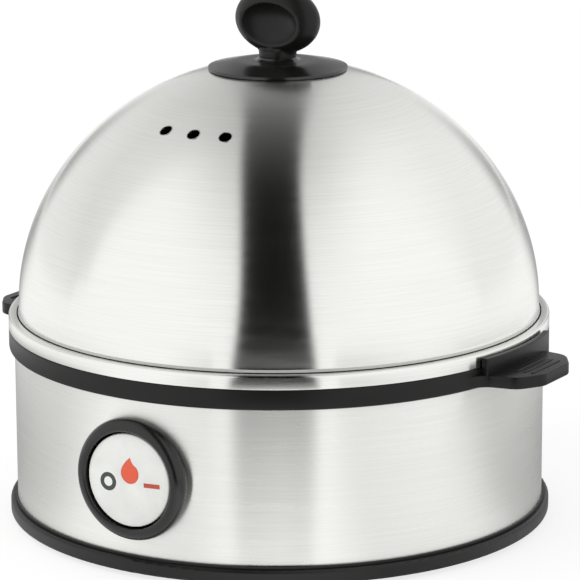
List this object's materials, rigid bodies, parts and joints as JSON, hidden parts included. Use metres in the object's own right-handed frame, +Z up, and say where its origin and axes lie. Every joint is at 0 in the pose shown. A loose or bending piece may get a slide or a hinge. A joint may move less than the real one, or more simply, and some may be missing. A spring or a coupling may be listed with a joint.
{
  "type": "egg cooker",
  "caption": "Domestic electric egg cooker: round brushed steel base with a rocker control, lift-out egg rack with handles and a domed steel lid.",
  "frame": {"origin": "centre of the base, on the surface that the rubber feet stand on", "axes": "+Z up through the lid's knob; the control faces -Y and the mains lead enters from +Y; the two rack handles lie along X"},
  "size_m": [0.2136, 0.1885, 0.1803],
  "materials": {
    "black_abs": "satin moulded black plastic",
    "black_phenolic": "heat-proof moulded black plastic, satin",
    "gloss_black_abs": "polished moulded black plastic",
    "brushed_steel": "brushed stainless steel",
    "drawn_steel": "drawn stainless sheet, satin",
    "plated_steel": "zinc-plated steel",
    "cast_aluminium": "as cast",
    "element_sheath": "heat-darkened steel sheath",
    "silicone": "red silicone rubber",
    "black_rubber": "matt black rubber",
    "white_ceramic": "unglazed steatite",
    "phenolic_case": "moulded phenolic",
    "grey_abs": "pale grey moulded plastic",
    "red_lens": "translucent red moulded lens",
    "lamp_glass": "clear glass",
    "white_nylon": "moulded nylon",
    "blue_lead": "silicone-insulated wire",
    "brown_lead": "silicone-insulated wire",
    "earth_lead": "silicone-insulated wire"
  },
  "bodies": {
    "base": {"bottom_shell": "black_abs", "rubber_feet": "black_rubber", "bottom_screws": "plated_steel", "steel_sleeve": "brushed_steel", "rear_panel": "brushed_steel", "upper_collar": "black_phenolic", "heating_bowl": "drawn_steel", "bowl_seal": "silicone", "heat_plate": "cast_aluminium", "heating_element": "element_sheath", "clamp_ring": "plated_steel", "clamp_nuts": "plated_steel", "thermostat": "phenolic_case", "thermostat_bracket": "plated_steel", "thermal_fuse": "white_ceramic", "fuse_clip": "plated_steel", "plate_screws": "plated_steel", "earth_tab": "plated_steel", "terminal_block": "white_ceramic", "terminal_screws": "plated_steel", "cord_gland": "black_abs", "gland_nut": "white_nylon", "control_bezel": "gloss_black_abs", "switch_body": "phenolic_case", "switch_screws": "plated_steel", "neon_lamp": "lamp_glass", "live_lead": "brown_lead", "switch_lead": "brown_lead", "fuse_lead": "brown_lead", "element_lead": "brown_lead", "neutral_lead": "blue_lead", "earth_lead": "earth_lead"},
    "egg_rack": {"rack_ring": "black_phenolic", "rack_tray": "drawn_steel", "tray_screws": "plated_steel"},
    "lid": {"lid_dome": "brushed_steel", "knob_disc": "black_phenolic", "lid_knob": "black_phenolic", "knob_washer": "plated_steel", "knob_screw": "plated_steel"},
    "rocker": {"rocker_cap": "grey_abs", "indicator_lens": "red_lens"}
  },
  "joints": [
    {"name": "rack_lift", "type": "slide", "parent": "base", "child": "egg_rack", "axis": [0, 0, 1], "range_m": [0, 0.08]},
    {"name": "lid_lift", "type": "slide", "parent": "egg_rack", "child": "lid", "axis": [0, 0, 1], "range_m": [0, 0.12]},
    {"name": "rocker_tilt", "type": "hinge", "parent": "base", "child": "rocker", "pos_m": [0, -0.0866, 0.033], "axis": [0, 0, 1], "range_deg": [-3, 3]}
  ]
}
